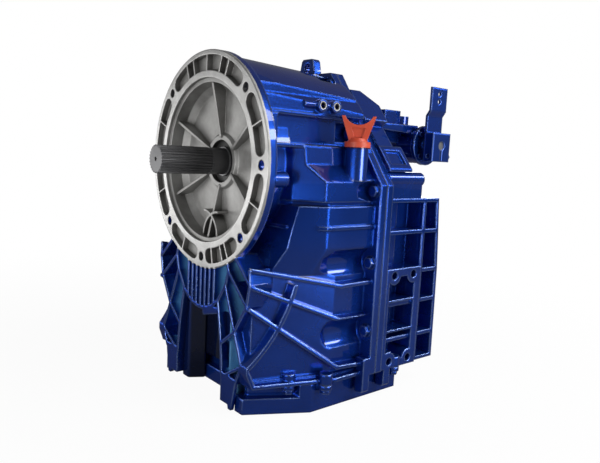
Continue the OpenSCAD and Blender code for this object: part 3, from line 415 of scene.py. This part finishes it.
def bare_mask(wire):
    """1 where the front casting is bare metal, 0 where it is painted."""
    place = place_of(wire)
    along = parts_of(wire, place)[1]
    flat = seen_along_shaft(wire, place)
    reach = apart(wire, flat)
    ragged = RAGGED_EDGE * place.noise(RAGGED_SCALE)
    on_flange = (reach < FLANGE_R + FLANGE_MARGIN) * (reach > BOWL_R - BOWL_LIP)
    rim = (along < EDGE_BARE + ragged) * on_flange
    pocket = (along < POCKET_DEEP) * (reach < FLANGE_R - RIM_WIDTH)
    bowl = (along < BOWL_DEEP) * (reach < BOWL_R)
    mask = rim + pocket + bowl
    for turn in HOLE_TURNS:
        angle = math.radians(turn)
        middle = (HOLE_CIRCLE_R * math.cos(angle), 0.0, HOLE_CIRCLE_R * math.sin(angle))
        in_hole = (apart(wire, flat, middle) < HOLE_R) * (along > HOLE_LIP)
        mask = mask * (1 - in_hole)
    for face in PORT_FACES:
        mask = mask + (apart(wire, place, face) < PORT_FACE_R)
    return mask.clamp()


print("bare inside a radius of", FLANGE_R, "m")

# %% [markdown]
# The back walls of the cells in the legs are painted paler and without metal flakes, a painted light where
# the lamps hardly reach. The gap between the legs is painted dark, a painted shade. Both masks come from the
# place as well.

# %% Where light and shade are painted
CELL_HALF_W = 0.104
CELL_DEEP = 0.046
CELL_TOP = -0.15
GAP_HALF_W = 0.076
GAP_DEEP = 0.06
GAP_TOP = -0.245
LIGHT_AND_SHADE_REACH = (0.003, 0.02)


def light_and_shade_masks(wire):
    """Two masks: the cells of the legs and the gap between the legs."""
    across, along, height = parts_of(wire, place_of(wire))
    side = wire.maths("ABSOLUTE", across)
    # The cells of the legs get painted light.
    lit_cells = (side < CELL_HALF_W) * (along < CELL_DEEP) * (height < CELL_TOP)
    # The gap between the legs gets painted shade.
    shaded_gap = (side < GAP_HALF_W) * (along < GAP_DEEP) * (height < GAP_TOP)
    depth = along.steps(*LIGHT_AND_SHADE_REACH)
    return lit_cells * depth * (1 - shaded_gap), shaded_gap * depth


front_look, wire, output = new_look("front_case_finish")
painted = enamel_shader(wire, *light_and_shade_masks(wire))
metal = bare_shader(wire)
both = wire.node("ShaderNodeMixShader", {}, {0: bare_mask(wire), 1: painted, 2: metal})
close(wire, output, both)
print("made", front_look.name)

# %% [markdown]
# The splined nose is blackened steel: dark, dense and a little oily. The other steels are plainly machined,
# and the seals, linings and the cap differ in colour and gloss alone. So each is one small variation of the
# same shader, and one function makes them all.

# %% Steels, brass, rubber and plastic
FINE_GRAIN = 700.0
MOULDED_GRAIN = 300.0
MACHINED_EDGE = 0.0008
MOULDED_EDGE = 0.0014
SMUDGE_SCALE = 40.0
SMUDGE_ROUGH = 0.2
METAL_DEPTH = 0.0002
METAL_STRENGTH = 0.15


def metal_look(name, dark, pale, roughness, metallic=1.0, grain_scale=FINE_GRAIN, edge=MACHINED_EDGE):
    """A machined or moulded surface with fine grain and faint stains."""
    look, wire, output = new_look(name)
    place = place_of(wire)
    grain = place.noise(grain_scale)
    stains = place.noise(SMUDGE_SCALE, detail=4.0)
    tone = (0.5 * grain + 0.5 * stains).clamp()
    shader = surface(wire, {
        "Base Color": tone.blend(dark, pale),
        "Metallic": metallic,
        "Roughness": (roughness + SMUDGE_ROUGH * (stains - 0.5)).clamp(),
        "Normal": rounded(wire, edge, grain, METAL_DEPTH, METAL_STRENGTH)})
    close(wire, output, shader)
    return look


black_steel = metal_look("black_oxide", (0.045, 0.045, 0.048), (0.14, 0.14, 0.145), 0.42, 0.6)
bright_steel = metal_look("machined_steel", (0.32, 0.32, 0.33), (0.55, 0.55, 0.56), 0.34)
lining = metal_look("clutch_lining", (0.12, 0.1, 0.08), (0.3, 0.26, 0.2), 0.6, 0.4)
brass = metal_look("turned_brass", (0.36, 0.26, 0.08), (0.6, 0.47, 0.2), 0.32)
mesh_wire = metal_look("strainer_wire", (0.2, 0.2, 0.2), (0.45, 0.45, 0.45), 0.45)
rubber = metal_look("seal_rubber", (0.01, 0.01, 0.01), (0.03, 0.03, 0.03), 0.6, 0.0)
orange = metal_look(
    "orange_cap", (0.46, 0.045, 0.02), (0.62, 0.09, 0.04), 0.4, 0.0, MOULDED_GRAIN, MOULDED_EDGE)
print("made", [m.name for m in (black_steel, bright_steel, lining, brass, mesh_wire, rubber, orange)])

# %% [markdown]
# The record of the CAD model says what each piece is made of. Reading it here saves a second list of names,
# and a new bolt in the CAD gets its finish by itself. Only the front case, with its two finishes, is named.

# %% Give each node its finish
SLOT_LOOKS = {
    "enamel": enamel, "dark_steel": black_steel, "steel": bright_steel, "clutch_lining": lining,
    "seal": rubber, "brass": brass, "cap_plastic": orange, "strainer_mesh": mesh_wire}
slot_of = {part["node"]: part["material_slot"] for part in frame["record"]["subparts"]}
for name, piece in nodes.items():
    piece.data.materials.clear()
    piece.data.materials.append(front_look if name == "front_case" else SLOT_LOOKS[slot_of[name]])
print("finished", len(nodes), "nodes")

# %% [markdown]
# The solid model lacks two pairs of small walls of the castings, so they are made here: the inner walls of
# the legs, which come closer to each other towards the back, and the walls that carry the shoulders of the
# rear case. Each is a flat outline, drawn out to its length and then rounded along every edge.

# %% Walls of the casting
WALL_ROUND = 0.003
WALL_STEPS = 3
LEG_OUTLINE = ((0.078, 0.014), (0.057, 0.014), (0.041, 0.042), (0.078, 0.042))
LEG_SPAN = (-0.3995, -0.243)
SHOULDER_OUTLINE = ((0.248, -0.054), (0.336, -0.054), (0.336, -0.022), (0.330, -0.012), (0.248, -0.012))
SHOULDER_SPAN = (0.150, 0.193)


def rounded_wall(name, look, ring_low, ring_high):
    """A closed wall between two outlines, with rounded edges, that rides on the housing."""
    shape = bmesh.new()
    low = [shape.verts.new(p) for p in ring_low]
    high = [shape.verts.new(p) for p in ring_high]
    shape.faces.new(low)
    shape.faces.new(high)
    for i in range(len(low)):
        j = (i + 1) % len(low)
        shape.faces.new((low[i], low[j], high[j], high[i]))
    edges = shape.edges[:]
    bmesh.ops.bevel(shape, geom=edges, offset=WALL_ROUND, segments=WALL_STEPS, affect="EDGES", profile=0.5)
    bmesh.ops.recalc_face_normals(shape, faces=shape.faces)
    mesh = bpy.data.meshes.new(name)
    shape.to_mesh(mesh)
    shape.free()
    wall = bpy.data.objects.new(name, mesh)
    scene.collection.objects.link(wall)
    mesh.materials.append(look)
    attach(wall, "housing")


for side, word in ((1, "right"), (-1, "left")):
    legs = [[(side * x, y, z) for x, y in LEG_OUTLINE] for z in LEG_SPAN]
    # The leg walls take the front case's finish, so most of each wall gets the painted shade of the gap.
    rounded_wall("leg_inner_wall_" + word, front_look, *legs)
    shoulders = [[(side * x, y, z) for y, z in SHOULDER_OUTLINE] for x in SHOULDER_SPAN]
    rounded_wall("shoulder_wall_" + word, enamel, *shoulders)
print("added four walls")

# %% [markdown]
# The gearbox stands on a white sweep, which a photographer would light on its own. Here the floor and the
# world show white to the camera and dimly in the gloss, and they light the object at a plain level only.
# Light Path tells the kinds of ray apart. The floor keeps the object's shadow, which fades out with distance.

# %% Kinds of ray
GREY_ROOM = 0.1
MIRRORED_ROOM = 0.05
MIRRORED_FLOOR = 0.04


def ray_kinds(wire):
    """Three masks: rays from the camera, mirrored rays and rays through clear material."""
    camera_ray = wire.node("ShaderNodeLightPath")
    return camera_ray, camera_ray.sibling("Is Glossy Ray"), camera_ray.sibling("Is Transmission Ray")


print("the gloss mirrors", MIRRORED_FLOOR, "of the floor's white")

# %% [markdown]
# The floor is one large square of paper. A curved sweep would hide the horizon too, but a square that turns
# white before its edge does so with four corners.

# %% Floor
FLOOR_HALF = 6.0
FLOOR_WHITE = 0.95
SHADOW_FADE = (0.5, 1.6)
PAPER_TONE = 0.4
PAPER_SEEN = 0.4
PAPER_MIRRORED = -0.25
PAPER_FIBRE = 0.02
PAPER_SCALE = 3.0
BLACK = (0, 0, 0)
WHITE = (1, 1, 1)

floor_mesh = bpy.data.meshes.new("studio_floor")
quarters = ((-1, -1), (1, -1), (1, 1), (-1, 1))
corners = [(across * FLOOR_HALF, along * FLOOR_HALF, cad_low.z) for across, along in quarters]
floor_mesh.from_pydata(corners, [], [(0, 1, 2, 3)])
floor = bpy.data.objects.new("studio_floor", floor_mesh)
scene.collection.objects.link(floor)
floor_look, wire, output = new_look("white_sweep")
camera_ray, glossy_ray, through_ray = ray_kinds(wire)
fibre = PAPER_FIBRE * place_of(wire).noise(PAPER_SCALE)
paper_tone = PAPER_TONE + PAPER_SEEN * camera_ray + PAPER_MIRRORED * glossy_ray + fibre
matt = wire.node("ShaderNodeBsdfDiffuse", {}, {"Color": paper_tone.blend(BLACK, WHITE)})
glow = wire.node("ShaderNodeEmission", {}, {"Color": colour_of(WHITE), "Strength": 1.0})
faded = apart(wire, place_of(wire)).steps(*SHADOW_FADE)
bleached = FLOOR_WHITE + (1 - FLOOR_WHITE) * faded
direct = (camera_ray * bleached + MIRRORED_FLOOR * glossy_ray + through_ray).clamp()
close(wire, output, wire.node("ShaderNodeMixShader", {}, {0: direct, 1: matt, 2: glow}))
floor_mesh.materials.append(floor_look)
print("floor at", round(cad_low.z, 3))

# %% [markdown]
# The world is the room round the sweep. The camera sees it white, and it fills the shadows with a weak grey.

# %% World
world = bpy.data.worlds.new("studio_room")
scene.world = world
world.use_nodes = True
world.node_tree.nodes.clear()
wire = Wire(world.node_tree)
camera_ray, glossy_ray, through_ray = ray_kinds(wire)
white = (camera_ray + through_ray + MIRRORED_ROOM * glossy_ray).clamp()
level = GREY_ROOM * (1 - white) + white
room = wire.node("ShaderNodeBackground", {}, {"Color": colour_of(WHITE), "Strength": level})
world_output = world.node_tree.nodes.new("ShaderNodeOutputWorld")
world.node_tree.links.new(room.socket, world_output.inputs["Surface"])
print("room light", GREY_ROOM)

# %% [markdown]
# Seven soft boxes light the gearbox. The long flat one behind it draws the highlights along the ribs, and the
# left one shines on the turned flange. Area lamps give soft shadows, and each one looks at the same middle.

# %% Soft boxes
MIDDLE = Vector((0.0, 0.15, -0.1))
SOFT_BOXES = (
    ("key_box", Vector((1.3, 0.7, 1.5)), (1.2, 0.7), 19.0),
    ("left_box", Vector((-1.6, -1.1, -0.13)), (1.1, 0.5), 8.0),
    ("low_box", Vector((0.2, -1.4, -0.235)), (1.6, 0.3), 14.0),
    ("fill_box", Vector((0.8, -1.6, 0.9)), (1.0, 0.5), 3.0),
    ("edge_box", Vector((1.3, 1.4, 0.85)), (1.5, 0.3), 16.0),
    ("side_box", Vector((1.9, 0.6, -0.08)), (0.8, 0.7), 18.0),
    ("rear_box", Vector((-1.6, 1.7, 0.15)), (1.6, 0.8), 14.0))
for name, stand, (wide, high), watts in SOFT_BOXES:
    lamp = bpy.data.lights.new(name, "AREA")
    lamp.shape = "RECTANGLE"
    lamp.size = wide
    lamp.size_y = high
    lamp.energy = watts
    box = bpy.data.objects.new(name, lamp)
    box.location = stand
    box.rotation_mode = "QUATERNION"
    box.rotation_quaternion = (MIDDLE - stand).to_track_quat("-Z", "Y")
    scene.collection.objects.link(box)
scene.view_settings.view_transform = "Standard"
print("soft boxes", len(SOFT_BOXES))
